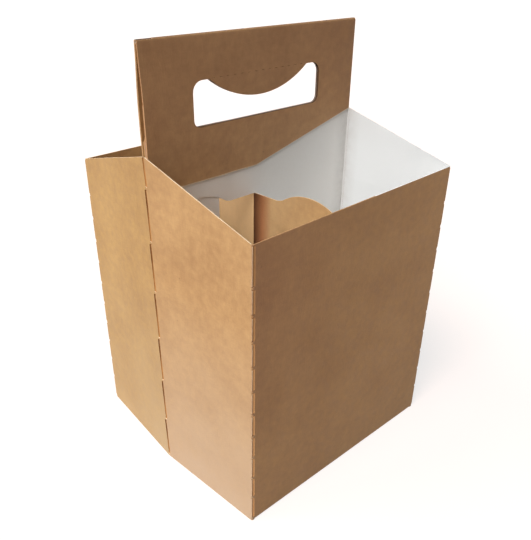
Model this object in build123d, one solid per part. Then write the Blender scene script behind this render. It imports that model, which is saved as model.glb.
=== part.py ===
from build123d import *
import os
from math import hypot

# Four-pack bottle carrier folded from one die-cut sheet of paperboard.
# X runs along the handle, the front panel faces -Y, Z is up.
# The origin is the middle of the base. Glued plies are one solid.

# Board and outer walls, in millimetres
board = 0.5             # thickness of the paperboard
panel_length = 132.0    # front and back panels, corner fold to corner fold
carrier_depth = 129.2   # outside of the front panel to outside of the back panel
corner_height = 154.6   # front and back panels, and the wall tops at the corners
peak_rise = 17.5        # how far the end walls climb from a corner to the middle crease
left_bulge = 4.9        # the left end crease stands this far out of the corners
right_dent = 5.8        # the right end crease is drawn this far in
fold_radius = 0.8       # outside radius of a right-angled fold

# Handle
handle_rise = 47.4      # top fold of the handle above the end creases
hem_run = 67.5          # length of the handle ply's slanting lower edge, along X
left_gap = 2.6          # widest gap between the two handle leaves, at their free end
gap_drop = 19.0         # where that gap is widest, below the top fold

# Hand hole
hole_width = 78.0
hole_height = 19.7
hole_drop = 19.1        # top of the hole below the top fold
hole_offset = 0.5       # middle of the hole, left of the middle of the handle
hole_upper_radius = 5.0
hole_lower_radius = 3.5
tongue_width = 60.5     # curved tongue that hangs into the hole from above
tongue_drop = 10.7

# Divider straps, cut out of the centre panels and swung across the cells
hinge_offset = 2.6      # strap hinge, left of the middle of the centre panel
strap_drop = 14.2       # strap top below the wall tops
strap_height = 75.0
shoulder_run = 18.0     # flat stretch of the strap's top edge beside its hinge
toe_run = 12.0          # flat stretch beside the outer panel
dome_rise = 6.4         # the rounded hump between them
dome_blend = 7.0
strap_flap = 14.0       # glue flap along the outer panel

# Glue tabs of the left end walls, between the two centre panels
tab_width = 40.2
tab_lead = 8.0          # run over which a centre panel closes up beyond the tabs

# Cut-score folds: slits with short uncut nicks between them
slit = 0.3
nick = 1.2
corner_nick_pitch = 13.2
corner_nick_drop = 19.5     # first nick below the top of a corner fold
crease_nick_pitch = 26.4
crease_nick_drop = 14.2     # first nick below the top of an end crease
hinge_nick_drop = 21.6      # first nick below the top of a strap hinge
top_nick_pitch = 49.0
top_nick_inset = 10.5       # first nick of the top fold from the handle's left end
slit_foot = 1.6             # slits of the corners and end creases start this far above the base
corner_lean = 45.0          # slits of a corner fold halve its right angle, in degrees

# Places worked out from the sizes above
half_span = (panel_length + left_bulge) / 2
half_depth = carrier_depth / 2
left_crease = -half_span
left_corner = left_crease + left_bulge
right_corner = half_span
right_crease = right_corner - right_dent
panel_middle = (left_corner + right_corner) / 2
centre_middle = (left_crease + right_crease) / 2
peak_height = corner_height + peak_rise
handle_height = peak_height + handle_rise
leaf = 2 * board                        # two plies on each side of the handle
leaf_top = handle_height - leaf
strap_hinge = centre_middle - hinge_offset
strap_top = corner_height - strap_drop
strap_bottom = strap_top - strap_height
tab_edge = left_crease + tab_width
lead_end = tab_edge + tab_lead
panel_inside = half_depth - board
strap_reach = hypot(panel_middle - strap_hinge, panel_inside)
hole_middle = centre_middle - hole_offset
cut_past = 5.0                          # cutting shapes run this far past the board


def plan_outline(inset):
    """Six-sided plan of the walls, drawn in by inset, with rounded corner folds."""
    sharp = make_face(
        Polyline(
            (left_corner, -half_depth),
            (right_corner, -half_depth),
            (right_crease, 0),
            (right_corner, half_depth),
            (left_corner, half_depth),
            (left_crease, 0),
            close=True,
        )
    )
    if inset:
        sharp = offset(sharp, -inset, kind=Kind.INTERSECTION)
    rows = sharp.vertices().group_by(Axis.Y)
    return fillet(rows[0] + rows[-1], fold_radius - inset)


def above_walls():
    """Space over the wall tops: level at front and back, rising to both end creases."""
    side = make_face(
        Polyline(
            (-half_depth - cut_past, corner_height),
            (-panel_inside, corner_height),
            (0, peak_height),
            (panel_inside, corner_height),
            (half_depth + cut_past, corner_height),
            (half_depth + cut_past, peak_height + cut_past),
            (-half_depth - cut_past, peak_height + cut_past),
            close=True,
        )
    )
    return extrude(Plane.YZ * side, amount=half_span + cut_past, both=True)


def below_front_fold():
    """Sliver outside the rounded fold between the front panel and the bottom panel."""
    rim = Polyline(
        (-half_depth, fold_radius),
        (-half_depth - cut_past, fold_radius),
        (-half_depth - cut_past, -cut_past),
        (-half_depth + fold_radius, -cut_past),
        (-half_depth + fold_radius, 0),
    )
    fold = RadiusArc(rim @ 1, rim @ 0, fold_radius)
    side = make_face(rim.edges() + fold.edges())
    return extrude(Plane.YZ * side, amount=half_span + cut_past, both=True)


def outer_walls():
    """Front, back and four end halves in one ring, with the bottom panel."""
    walls = extrude(plan_outline(0) - plan_outline(board), amount=peak_height)
    floor = extrude(plan_outline(0), amount=board)
    fold = below_front_fold()
    return walls + floor - above_walls() - fold - mirror(fold, Plane.XZ)


def strap_outline(run):
    """Side view of a strap from its hinge at zero, run long, with a humped top edge."""
    dome_start = (shoulder_run, strap_top)
    dome_end = (strap_reach - toe_run, strap_top)
    dome_peak = ((dome_start[0] + dome_end[0]) / 2, strap_top + dome_rise)
    rim = Polyline(
        dome_start,
        (0, strap_top),
        (0, strap_bottom),
        (run, strap_bottom),
        (run, strap_top),
        dome_end,
    )
    dome = ThreePointArc(dome_end, dome_peak, dome_start)
    face = make_face(rim.edges() + dome.edges())
    feet = [v for v in face.vertices() if v.Y > strap_bottom + board and 0 < v.X - board < run - leaf]
    return fillet(feet, dome_blend)


def centre_panels():
    """The two glued centre panels below the handle, with the end walls' tabs between them."""
    right_end = right_crease - board / 2
    plan = make_face(
        Polyline(
            (right_end, -board),
            (lead_end, -board),
            (tab_edge, -leaf),
            (left_crease, -leaf),
            (left_crease, leaf),
            (tab_edge, leaf),
            (lead_end, board),
            (right_end, board),
            close=True,
        )
    )
    panels = extrude(plan, amount=corner_height)
    window_view = Plane(origin=(strap_hinge, 0, 0), x_dir=(-1, 0, 0), z_dir=(0, 1, 0))
    window = extrude(window_view * strap_outline(strap_hinge - left_crease), amount=half_depth, both=True)
    tabs = Pos(left_crease, 0, 0) * Box(
        tab_width, leaf, corner_height, align=(Align.MIN, Align.CENTER, Align.MIN)
    )
    return (panels - (window - tabs)) & extrude(plan_outline(0), amount=corner_height)


def leaf_section(x, foot, bow=None):
    """Section at x of the front handle leaf, whose inner face starts foot off the middle and may bow."""
    across = Plane(origin=(x, 0, 0), x_dir=(0, 1, 0), z_dir=(1, 0, 0))
    low = (-foot, corner_height)
    high = (0, leaf_top)
    if bow:
        inner = ThreePointArc(low, (-bow, handle_height - gap_drop), high)
    else:
        inner = Line(low, high)
    outer = Pos(-leaf, 0) * inner
    return across * make_face([inner, Line(high, outer @ 1), outer, Line(outer @ 0, low)])


def front_leaf():
    """Left stretch of the front handle leaf: bowed open at its free end, closed past the tabs."""
    free_end = leaf_section(left_crease, board, left_gap / 2)
    at_tabs = leaf_section(tab_edge, board)
    closed = leaf_section(lead_end, 0)
    return loft([free_end, at_tabs], ruled=True) + loft([at_tabs, closed], ruled=True)


def handle_block():
    """Right stretch of the handle: outer plies with a slanting hem over the two centre panels."""
    fold_x = right_crease - board
    hem = make_face(
        Polyline(
            (lead_end, corner_height),
            (right_crease - hem_run, corner_height),
            (fold_x, peak_height),
            (fold_x, leaf_top),
            (lead_end, leaf_top),
            close=True,
        )
    )
    plies = extrude(Plane.XZ * hem, amount=leaf, both=True)
    core = Pos(lead_end, 0, corner_height) * Box(
        fold_x - lead_end, leaf, peak_rise, align=(Align.MIN, Align.CENTER, Align.MIN)
    )
    edge_fold = Cylinder(board, leaf_top - peak_height, align=(Align.CENTER, Align.CENTER, Align.MIN))
    edges = [Pos(fold_x, side * board, peak_height) * edge_fold for side in (-1, 1)]
    return plies + core + edges


def top_fold():
    """Half-round fold that joins the two leaves along the top of the handle."""
    arc = ThreePointArc((-leaf, leaf_top), (0, handle_height), (leaf, leaf_top))
    half_round = Plane.YZ * make_face([arc, Line(arc @ 1, arc @ 0)])
    return Pos(left_crease, 0, 0) * extrude(half_round, amount=right_crease - left_crease, dir=(1, 0, 0))


def hand_hole():
    """Rounded slot through the handle, with a curved tongue left hanging into it."""
    hole_top = handle_height - hole_drop
    slot = Pos(hole_middle, hole_top - hole_height / 2) * Rectangle(hole_width, hole_height)
    rows = slot.vertices().group_by(Axis.Y)
    slot = fillet(rows[0], hole_lower_radius)
    slot = fillet(slot.vertices().group_by(Axis.Y)[-1], hole_upper_radius)
    tongue_radius = (tongue_width**2 / 4 + tongue_drop**2) / (2 * tongue_drop)
    tongue = Pos(hole_middle, hole_top - tongue_drop + tongue_radius) * Circle(tongue_radius)
    return extrude(Plane.XZ * (slot - tongue), amount=cut_past, both=True)


def front_strap():
    """Divider strap from its hinge to the middle of the front panel, with its glue flap."""
    heading = Vector(panel_middle - strap_hinge, -panel_inside, 0).normalized()
    view = Plane(origin=(strap_hinge, -board / 2, 0), x_dir=heading, z_dir=heading.cross(Vector(0, 0, 1)))
    strap = extrude(view * strap_outline(strap_reach), amount=board / 2, both=True)
    flap = Pos(panel_middle, -panel_inside, strap_bottom) * Box(
        strap_flap, board, strap_height, align=(Align.MIN, Align.MIN, Align.MIN)
    )
    return strap + flap


def slit_spans(low, high, drop, pitch):
    """Lower and upper ends of the slits between low and high, with nicks every pitch below drop."""
    spans = []
    upper = high + cut_past
    middle = high - drop
    while middle - nick / 2 > low + nick:
        spans.append((middle + nick / 2, upper))
        upper = middle - nick / 2
        middle -= pitch
    spans.append((low, upper))
    return spans


def upright_slits(x, y, turn, spans):
    """Slits of one upright fold at x and y, cut across the board in the direction of turn."""
    return [
        Pos(x, y, low) * Rot(0, 0, turn) * Box(
            cut_past, slit, high - low, align=(Align.CENTER, Align.CENTER, Align.MIN)
        )
        for low, high in spans
    ]


def top_slits():
    """Slits along the handle's top fold, through its outer ply only."""
    cuts = []
    for low, high in slit_spans(nick - right_crease, -left_crease, top_nick_inset, top_nick_pitch):
        cut = Box(high - low, slit, cut_past, align=(Align.MAX, Align.CENTER, Align.MIN))
        cuts.append(Pos(-low, 0, handle_height - board) * cut)
    return cuts


def fold_slits():
    """All cut-score slits: corner folds, end creases, strap hinges and the handle's top fold."""
    corner = slit_spans(slit_foot, corner_height, corner_nick_drop, corner_nick_pitch)
    crease = slit_spans(slit_foot, peak_height, crease_nick_drop, crease_nick_pitch)
    hinge = slit_spans(strap_bottom, strap_top, hinge_nick_drop, crease_nick_pitch)
    cuts = top_slits()
    for side in (-1, 1):
        cuts += upright_slits(left_corner, side * half_depth, -side * corner_lean, corner)
        cuts += upright_slits(right_corner, side * half_depth, side * corner_lean, corner)
        cuts += upright_slits(strap_hinge, side * (board + slit / 2), 0, hinge)
    for x in (left_crease, right_crease):
        cuts += upright_slits(x, 0, 0, crease)
    return cuts


carrier = outer_walls() + centre_panels() + handle_block()
for half in (front_leaf(), front_strap()):
    carrier = carrier + half + mirror(half, Plane.XZ)
carrier = carrier + top_fold() - hand_hole()
carrier = carrier - fold_slits()

os.makedirs("parts", exist_ok=True)
export_step(carrier, "parts/carrier.step")
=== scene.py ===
from math import asin, atan2, cos, hypot, pi, radians, sin
from random import Random
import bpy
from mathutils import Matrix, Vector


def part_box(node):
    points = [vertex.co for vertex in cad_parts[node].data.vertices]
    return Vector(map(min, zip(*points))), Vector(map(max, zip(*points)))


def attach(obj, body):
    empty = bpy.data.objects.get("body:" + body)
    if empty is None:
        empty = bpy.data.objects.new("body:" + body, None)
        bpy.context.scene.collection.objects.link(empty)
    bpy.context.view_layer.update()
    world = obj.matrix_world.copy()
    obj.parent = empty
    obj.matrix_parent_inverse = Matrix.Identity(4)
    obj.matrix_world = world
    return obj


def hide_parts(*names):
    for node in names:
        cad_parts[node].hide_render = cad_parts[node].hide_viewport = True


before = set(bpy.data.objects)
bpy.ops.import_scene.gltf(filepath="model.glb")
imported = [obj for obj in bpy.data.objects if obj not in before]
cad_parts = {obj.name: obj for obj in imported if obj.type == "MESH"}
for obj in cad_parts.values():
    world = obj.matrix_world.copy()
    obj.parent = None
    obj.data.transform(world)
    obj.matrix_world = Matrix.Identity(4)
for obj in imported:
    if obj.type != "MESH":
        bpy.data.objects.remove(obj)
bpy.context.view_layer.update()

from types import SimpleNamespace

import bmesh
import bpy
from bpy.props import FloatProperty, FloatVectorProperty, PointerProperty
from mathutils import Matrix, Vector

bl_info = {
    "name": "Four-pack bottle carrier",
    "version": (1, 0, 0),
    "blender": (4, 5, 0),
    "location": "View3D > Sidebar > Carrier",
    "description": "Folded paperboard carrier with a central handle and divider straps",
    "category": "Add Mesh",
}

FRAME_LOW, FRAME_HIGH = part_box("carrier")


# Sizes and colours

def length(name, description, default):
    """A length in metres."""
    return FloatProperty(
        name=name, description=description, default=default,
        subtype="DISTANCE", unit="LENGTH", precision=5,
    )


def colour(name, description, default):
    """An opaque scene-linear colour."""
    return FloatVectorProperty(
        name=name, description=description, default=(*default, 1.0),
        subtype="COLOR", size=4, min=0.0, max=1.0,
    )


class CarrierWallSizes(bpy.types.PropertyGroup):
    """Board, outer walls and their folds."""

    board: length("Board", "Thickness of one ply", 0.00046)
    ply_pitch: length("Ply pitch", "Distance from one glued ply to the next", 0.0005)
    panel_length: length("Panel length", "Front panel between its corner folds", 0.132)
    depth: length("Depth", "Outside of front panel to outside of back panel", FRAME_HIGH.y - FRAME_LOW.y)
    corner_height: length("Corner height", "Wall tops at the corners", 0.1546)
    peak_height: length("Peak height", "Wall tops at the end creases", 0.1726)
    left_bulge: length("Left bulge", "How far the left end crease stands out", 0.0049)
    right_dent: length("Right dent", "How far the right end crease is drawn in", 0.0058)
    fold_radius: length("Fold radius", "Outside radius of a corner fold", 0.00086)
    crease_half: length("Crease half width", "Half the width of an end crease", 0.0006)
    corner_settle: length("Corner settle", "How far the front left corner has settled at its top", 0.0014)
    panel_bow: length("Panel bow", "How far a wide panel sinks in at its middle", 0.0005)
    bottom_clearance: length("Bottom clearance", "Bottom panel to the end walls", 0.0012)
    grid: length("Grid", "Spacing of the bending lines in a sheet", 0.008)
    nick: length("Nick", "Uncut bridge between two slits of a fold", 0.0012)
    corner_nick_pitch: length("Corner nick pitch", "Spacing of the nicks in a corner fold", 0.0132)
    corner_nick_drop: length("Corner nick drop", "First nick below the top of a corner fold", 0.0195)
    crease_nick_pitch: length("Crease nick pitch", "Spacing of the nicks in an end crease", 0.0264)
    crease_nick_drop: length("Crease nick drop", "First nick below the top of an end crease", 0.0142)
    slit_foot: length("Slit foot", "Slits of the corners and creases start this far above the base", 0.0016)
    slit_head: length("Slit head", "Corner slits stop this far below the wall tops", 0.0005)
    slit_lead: length("Slit lead", "Run over which a slit opens next to a nick", 0.0004)
    slit_gap: length("Slit gap", "End wall to the inside of the front panel at a corner slit", 0.0005)
    slit_draw: length("Slit draw", "Front panel drawn back from the end wall at a left corner slit", 0.0016)
    slit_slant: length("Slit slant", "How far a crease slit drifts sideways along its length", 0.0011)
    score_depth: length("Score depth", "Torn fibres below the outside of a slit", 0.0003)


class CarrierHandleSizes(bpy.types.PropertyGroup):
    """Handle plies, hand hole and top fold."""

    top_height: length("Handle height", "Top fold of the handle", FRAME_HIGH.z)
    end_inset: length("End inset", "Free end of the handle plies from the left crease", 0.0009)
    hem_run: length("Hem run", "Slanting lower edge of a handle ply, along X", 0.0675)
    hem_lift: length("Hem lift", "Level lower edge of a handle ply above the wall tops", 0.0004)
    left_gap: length("Left gap", "Widest gap between the two leaves at their free end", 0.0026)
    gap_drop: length("Gap drop", "Where that gap is widest, below the top fold", 0.026)
    hole_width: length("Hole width", "Hand hole along the handle", 0.0789)
    hole_height: length("Hole height", "Hand hole from bottom to top", 0.0204)
    hole_drop: length("Hole drop", "Top of the hand hole below the top fold", 0.0191)
    hole_offset: length("Hole offset", "Middle of the hole, left of the middle of the handle", -0.0005)
    hole_upper_radius: length("Hole upper radius", "Upper corners of the hand hole", 0.005)
    hole_lower_radius: length("Hole lower radius", "Lower corners of the hand hole", 0.0035)
    tongue_width: length("Tongue width", "Curved tongue that hangs into the hole", 0.0605)
    tongue_drop: length("Tongue drop", "Depth of that tongue", 0.0107)
    dash: length("Dash", "One cut of the dashed tongue crease", 0.0015)
    dash_pitch: length("Dash pitch", "Spacing of those cuts", 0.0042)
    dash_width: length("Dash width", "Width of those cuts", 0.00011)
    top_nick_pitch: length("Top nick pitch", "Spacing of the nicks in the top fold", 0.049)
    top_nick_inset: length("Top nick inset", "First nick of the top fold from its left end", 0.0079)
    droop: length("Droop", "How far the handle's right end hangs below its left end", 0.00185)
    burr: length("Burr", "Torn bump left on the hem where a nick held it", 0.00045)


class CarrierInsideSizes(bpy.types.PropertyGroup):
    """Glue tabs, windows and divider straps."""

    tab_width: length("Tab width", "Glue tab of a left end wall", 0.0402)
    tip_rise: length("Tip rise", "Tip of a glue tab that stands up into the handle", 0.034)
    tip_run: length("Tip run", "That tip along X", 0.020)
    tab_lead: length("Tab lead", "Run over which a centre panel closes up past the tabs", 0.008)
    hinge_offset: length("Hinge offset", "Strap hinge left of the middle of the centre panel", 0.0026)
    hinge_gap: length("Hinge gap", "Open cut at the strap hinge", 0.00012)
    # Reach of the painted shade beside the strap hinge
    hinge_shade: length("Hinge shade", "How far the bruise of the strap hinge spreads", 0.0119)
    strap_drop: length("Strap drop", "Strap top below the wall tops", 0.0142)
    strap_height: length("Strap height", "Height of a strap beside its hinge", 0.075)
    shoulder_run: length("Shoulder run", "Flat stretch of the strap top beside its hinge", 0.018)
    toe_run: length("Toe run", "Flat stretch of the strap top beside the outer panel", 0.012)
    dome_rise: length("Dome rise", "Hump of the strap top", 0.0064)
    dome_blend: length("Dome blend", "Rounding where the hump meets the flats", 0.0026)
    strap_flap: length("Strap flap", "Glue flap along the outer panel", 0.014)
    strap_bow: length("Strap bow", "How far a strap bends out at its middle", 0.0008)


class CarrierColours(bpy.types.PropertyGroup):
    """Finishes of the board."""

    kraft_light: colour("Kraft light", "Paler fibres of the brown face", (0.572, 0.347, 0.153))
    kraft_dark: colour("Kraft dark", "Darker fibres of the brown face", (0.405, 0.222, 0.091))
    kraft_speck: colour("Kraft speck", "Bark specks in the brown face", (0.220, 0.105, 0.045))
    # Painted shade: dark brown on the front strap beside its hinge
    kraft_bruise: colour("Kraft bruise", "Brown face bruised beside a hinge", (0.115, 0.038, 0.010))
    # Pale brown for wear along the corner folds, and as a painted sheen low on the left end
    kraft_worn: colour(
        "Kraft worn", "Brown face rubbed pale along a fold or near the base", (0.535, 0.392, 0.263),
    )
    # Painted light: paler brown on the straps, most on the back strap
    kraft_fresh: colour("Kraft fresh", "Brown face kept fresh inside the carrier", (0.720, 0.490, 0.265))
    # Painted shade: redder tint beside the strap hinge
    hinge_tint: colour("Hinge tint", "Redder tint of the brown face beside a hinge", (1.0, 0.67, 0.60))
    # Painted shade: browner tint of the handle and of the front panel's upper left
    shade_tint: colour(
        "Shade tint", "Browner tint of the handle and the front panel's upper left", (0.88, 0.81, 0.86),
    )
    # Painted shade: darker, yellower tint of the far half of the left end
    far_tint: colour("Far tint", "Tint of the brown face on the far half of the left end", (0.91, 0.92, 0.79))
    white_light: colour("White light", "White inner face", (0.965, 0.945, 0.910))
    white_dark: colour("White dark", "Greyer clouds of the inner face", (0.930, 0.900, 0.860))
    # Painted shade: greyer inner face of the right end
    white_end: colour("White end", "Inner face of the right end, a little greyer", (0.840, 0.852, 0.850))
    # Painted shade: warmer, darker tint of the centre panels' inner face towards the left end
    white_left: colour(
        "White left", "Warmer tint of the centre panels' inner face towards the left end", (1.0, 0.89, 0.81),
    )
    # Painted shade: grey on the inner face beside an end crease
    white_crease: colour("White crease", "Inner face bruised along a fold", (0.660, 0.635, 0.610))
    edge_light: colour("Edge light", "Cream fibres of a cut edge", (0.930, 0.760, 0.540))
    edge_dark: colour("Edge dark", "Brown fibres of a cut edge", (0.700, 0.470, 0.270))
    # Score fibres; the dark one, deep in the slits, is partly painted shade
    score_light: colour("Score light", "Fibres of a pressed score", (0.500, 0.245, 0.085))
    score_dark: colour("Score dark", "Torn fibres deep in a slit", (0.185, 0.072, 0.022))
    score_tan: colour("Score tan", "Fibres laid open in the slits of the left corners", (0.880, 0.500, 0.220))
    # Painted shade: dark edges of the hand hole and the top fold, between the plies
    score_deep: colour("Score deep", "Dark edges of the hand hole and the top fold", (0.085, 0.046, 0.025))
    floor: colour("Floor", "Plain pale floor", (0.380, 0.285, 0.245))


class CarrierStage(bpy.types.PropertyGroup):
    """Light of the stage."""

    key_strength: FloatProperty(
        name="Key strength", description="Soft lamp at the left end", default=3.08, min=0.0,
    )
    key_path: FloatVectorProperty(
        name="Key path", description="Direction in which its light travels",
        default=(0.687, 0.165, -0.707), subtype="DIRECTION", size=3,
    )
    rear_strength: FloatProperty(
        name="Rear strength", description="Soft lamp behind the left end", default=1.88, min=0.0,
    )
    rear_path: FloatVectorProperty(
        name="Rear path", description="Direction in which its light travels",
        default=(0.542, -0.455, -0.707), subtype="DIRECTION", size=3,
    )
    lamp_size: FloatProperty(
        name="Lamp size", description="Width of either lamp as seen from the carrier",
        default=radians(36), subtype="ANGLE", unit="ROTATION",
    )
    sky: FloatProperty(
        name="Sky", description="Even light of the surroundings", default=0.05, min=0.0,
    )


def size_groups():
    """The scene's groups of lengths."""
    scene = bpy.context.scene
    return scene.carrier_walls, scene.carrier_handle, scene.carrier_inside


def carrier_sizes():
    """All sizes, and the places in the shared frame that follow from them."""
    p = SimpleNamespace()
    for group in size_groups():
        for name in type(group).__annotations__:
            setattr(p, name, getattr(group, name))
    p.half_depth = p.depth / 2
    p.left_crease = -(p.panel_length + p.left_bulge) / 2
    p.left_corner = p.left_crease + p.left_bulge
    p.right_corner = -p.left_crease
    p.right_crease = p.right_corner - p.right_dent
    p.panel_middle = (p.left_corner + p.right_corner) / 2
    p.centre_middle = (p.left_crease + p.right_crease) / 2
    p.panel_inside = p.half_depth - p.ply_pitch
    p.leaf = 2 * p.ply_pitch
    p.leaf_top = p.top_height - p.leaf
    p.free_end = p.left_crease + p.end_inset
    p.edge_fold = p.right_crease - p.ply_pitch
    p.strap_hinge = p.centre_middle - p.hinge_offset
    p.strap_top = p.corner_height - p.strap_drop
    p.strap_bottom = p.strap_top - p.strap_height
    p.strap_reach = hypot(p.panel_middle - p.strap_hinge, p.panel_inside)
    p.tab_edge = p.left_crease + p.tab_width
    p.lead_end = p.tab_edge + p.tab_lead
    p.hole_top = p.top_height - p.hole_drop
    p.hole_middle = p.centre_middle - p.hole_offset
    return p


# Sheets of board

X, Y, Z = range(3)
ALONG_X, ALONG_Z = (1.0, 0.0, 0.0), (0.0, 0.0, 1.0)
# The last finish is torn fibre; where it lines slits, gaps and the hand hole it is also painted shade
FACE, REVERSE, CUT, TORN_AND_SHADE = range(4)     # finishes of a sheet, in the order of its slots
SAME, NEAR, WELD = 1e-6, 1e-5, 2e-5     # distances that count as none
SQUARE = 0.8                            # a normal this far along an axis faces that way
SHARP = radians(35)                     # flatter edges are shaded smooth


def sign(value):
    """1 on the positive side, -1 elsewhere."""
    return 1 if value > 0 else -1


def clamp(value):
    """The value, held between 0 and 1."""
    return min(max(value, 0.0), 1.0)


def stations(low, high, spacing):
    """Evenly spaced places strictly between low and high, about spacing apart."""
    count = max(1, round((high - low) / spacing))
    return [low + (high - low) * step / count for step in range(1, count)]


def slit_spans(low, high, drop, pitch, nick):
    """Lower and upper ends of the slits of a fold, with nicks every pitch below drop."""
    spans = []
    upper = high
    middle = high - drop
    while middle - nick > low + nick:
        spans.append((middle + nick / 2, upper))
        upper = middle - nick / 2
        middle -= pitch
    spans.append((low, upper))
    return spans


def everything(bm):
    """All the geometry of a sheet."""
    return bm.verts[:] + bm.edges[:] + bm.faces[:]


def only(kind, geometry):
    """The elements of one kind."""
    return [part for part in geometry if isinstance(part, kind)]


def bevel(bm, geometry, reach, segments, affect="EDGES", clamp_overlap=False):
    """Rounds edges or corners. Returns the new faces."""
    return bmesh.ops.bevel(
        bm, geom=geometry, offset=reach, offset_type="OFFSET", segments=segments, profile=0.5,
        affect=affect, clamp_overlap=clamp_overlap, material=-1,
    )["faces"]


def spin(bm, edges, centre, axis, angle, steps):
    """Sweeps edges round an axis into a rounded fold."""
    bmesh.ops.spin(
        bm, geom=edges, cent=centre, axis=axis, angle=angle, steps=steps, use_merge=False
    )


def closed_row(bm, points):
    """Edges round a closed row of points."""
    verts = [bm.verts.new(point) for point in points]
    return [bm.edges.new(pair) for pair in zip(verts, verts[1:] + verts[:1])]


def raise_edges(bm, edges, height):
    """Draws edges straight up into upright faces."""
    tops = only(bmesh.types.BMVert, bmesh.ops.extrude_edge_only(bm, edges=edges)["geom"])
    bmesh.ops.translate(bm, verts=tops, vec=(0.0, 0.0, height))


def slice_sheet(bm, axis, places):
    """Scores the sheet straight across at each place along an axis."""
    normal = Vector((0.0, 0.0, 0.0))
    normal[axis] = 1.0
    for place in places:
        bmesh.ops.bisect_plane(
            bm, geom=everything(bm), dist=SAME, plane_co=normal * place, plane_no=normal
        )


def arc_between(start, end, rise, steps):
    """Points of an arc in the XZ plane from start to end, rising to the left of that heading."""
    start, end = Vector(start), Vector(end)
    chord = end - start
    radius = (chord.length ** 2 / 4 + rise ** 2) / (2 * abs(rise))
    half_angle = asin(chord.length / 2 / radius)
    left = Vector((-chord.y, chord.x)).normalized() * sign(rise)
    centre = (start + end) / 2 + left * (abs(rise) - radius)
    ahead = chord.normalized()
    angles = [half_angle * (2 * step / steps - 1) for step in range(steps + 1)]
    return [tuple(centre + left * radius * cos(a) + ahead * radius * sin(a)) for a in angles]


ROUND_STEPS = 5


def rounded(points, corners):
    """The outline with some corners rounded; corners maps a point's number to its reach."""
    bm = bmesh.new()
    face = bm.faces.new([bm.verts.new((x, 0.0, z)) for x, z in points])
    picked = {number: face.verts[number] for number in corners}
    for number, reach in corners.items():
        bevel(bm, [picked[number]], reach, ROUND_STEPS, "VERTICES")
    outline = [(v.co.x, v.co.z) for v in bm.faces[:][0].verts]
    bm.free()
    return outline


def fill_sheet(bm, outlines):
    """Fills the first outline with the others as holes, facing the front."""
    edges = []
    for outline in outlines:
        edges += closed_row(bm, [(x, 0.0, z) for x, z in outline])
    bmesh.ops.triangle_fill(
        bm, use_beauty=True, use_dissolve=False, edges=edges, normal=(0.0, -1.0, 0.0)
    )
    for face in bm.faces:
        if face.normal.y > 0:
            face.normal_flip()


def mirror_to_back(bm):
    """Adds the mirror image of the sheet behind the middle plane, still facing outwards."""
    copy = bmesh.ops.duplicate(bm, geom=everything(bm))["geom"]
    bmesh.ops.scale(bm, vec=(1.0, -1.0, 1.0), verts=only(bmesh.types.BMVert, copy))
    bmesh.ops.reverse_faces(bm, faces=only(bmesh.types.BMFace, copy))


def ease_edges(solid, reach):
    """Breaks the cut edges a little on the side of the face, as the die leaves them."""
    bm = bmesh.new()
    bm.from_mesh(solid)
    box = [[pick(v.co[axis] for v in bm.verts) for axis in (X, Y, Z)] for pick in (min, max)]
    cuts = [
        e for e in bm.edges
        if {f.material_index for f in e.link_faces} == {FACE, CUT}
        and not any(f.material_index == TORN_AND_SHADE for v in e.verts for f in v.link_faces)
    ]
    for face in bevel(bm, cuts, reach, 1, clamp_overlap=True):
        face.material_index = CUT
    for vert in bm.verts:
        vert.co = [min(max(place, low), high) for place, low, high in zip(vert.co, *box)]
    bm.to_mesh(solid)
    bm.free()


def make_board(name, bm, finishes, board, edge_finish=None):
    """Gives the sheet its board thickness behind its face and rides it on the carrier.

    finishes are the face, the reverse and the cut edge; edge_finish(middle, normal) may name
    another finish for a stretch of the edge.
    """
    bm.normal_update()
    sheet = bpy.data.meshes.new(name)
    bm.to_mesh(sheet)
    bm.free()
    for finish in (*finishes, score_fibre()):
        sheet.materials.append(finish)
    piece = bpy.data.objects.new(name, sheet)
    bpy.context.scene.collection.objects.link(piece)
    shell = piece.modifiers.new("board", "SOLIDIFY")
    shell.thickness = board
    shell.offset = -1.0
    shell.use_even_offset = True
    shell.material_offset = REVERSE
    shell.material_offset_rim = CUT
    depsgraph = bpy.context.evaluated_depsgraph_get()
    solid = bpy.data.meshes.new_from_object(piece.evaluated_get(depsgraph))
    piece.modifiers.clear()
    piece.data = solid
    bpy.data.meshes.remove(sheet)
    solid.name = name
    if not solid.polygons:
        raise RuntimeError(f"{name} came out empty")
    for face in solid.polygons:
        if edge_finish and face.material_index == CUT:
            face.material_index = edge_finish(face.center, face.normal)
    ease_edges(solid, board / 2)
    solid.shade_smooth()
    solid.set_sharp_from_angle(angle=SHARP)
    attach(piece, "root")
    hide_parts("carrier")


# Outer walls

CORNER_FOLD, END_CREASE = 1, 2
FOLD_STEPS = 3
TORN_SEED = 11


def upright_ring(bm, p):
    """Six-sided ring of walls; its rounded corner folds and narrow end creases are marked."""
    raise_edges(bm, closed_row(bm, [
        (p.left_corner, -p.half_depth, 0.0),
        (p.right_corner, -p.half_depth, 0.0),
        (p.right_crease, 0.0, 0.0),
        (p.right_corner, p.half_depth, 0.0),
        (p.left_corner, p.half_depth, 0.0),
        (p.left_crease, 0.0, 0.0),
    ]), p.peak_height)
    upright = [
        e for e in bm.edges if abs(e.verts[0].co.z - e.verts[1].co.z) > p.corner_height
    ]
    corners = [e for e in upright if abs(e.verts[0].co.y) > p.half_depth / 2]
    creases = [e for e in upright if abs(e.verts[0].co.y) < p.half_depth / 2]
    for edges, reach, segments, mark in (
        (corners, p.fold_radius, FOLD_STEPS, CORNER_FOLD),
        (creases, p.crease_half, 1, END_CREASE),
    ):
        for face in bevel(bm, edges, reach, segments):
            face.material_index = mark
    slice_sheet(bm, Z, [p.fold_radius])


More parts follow.
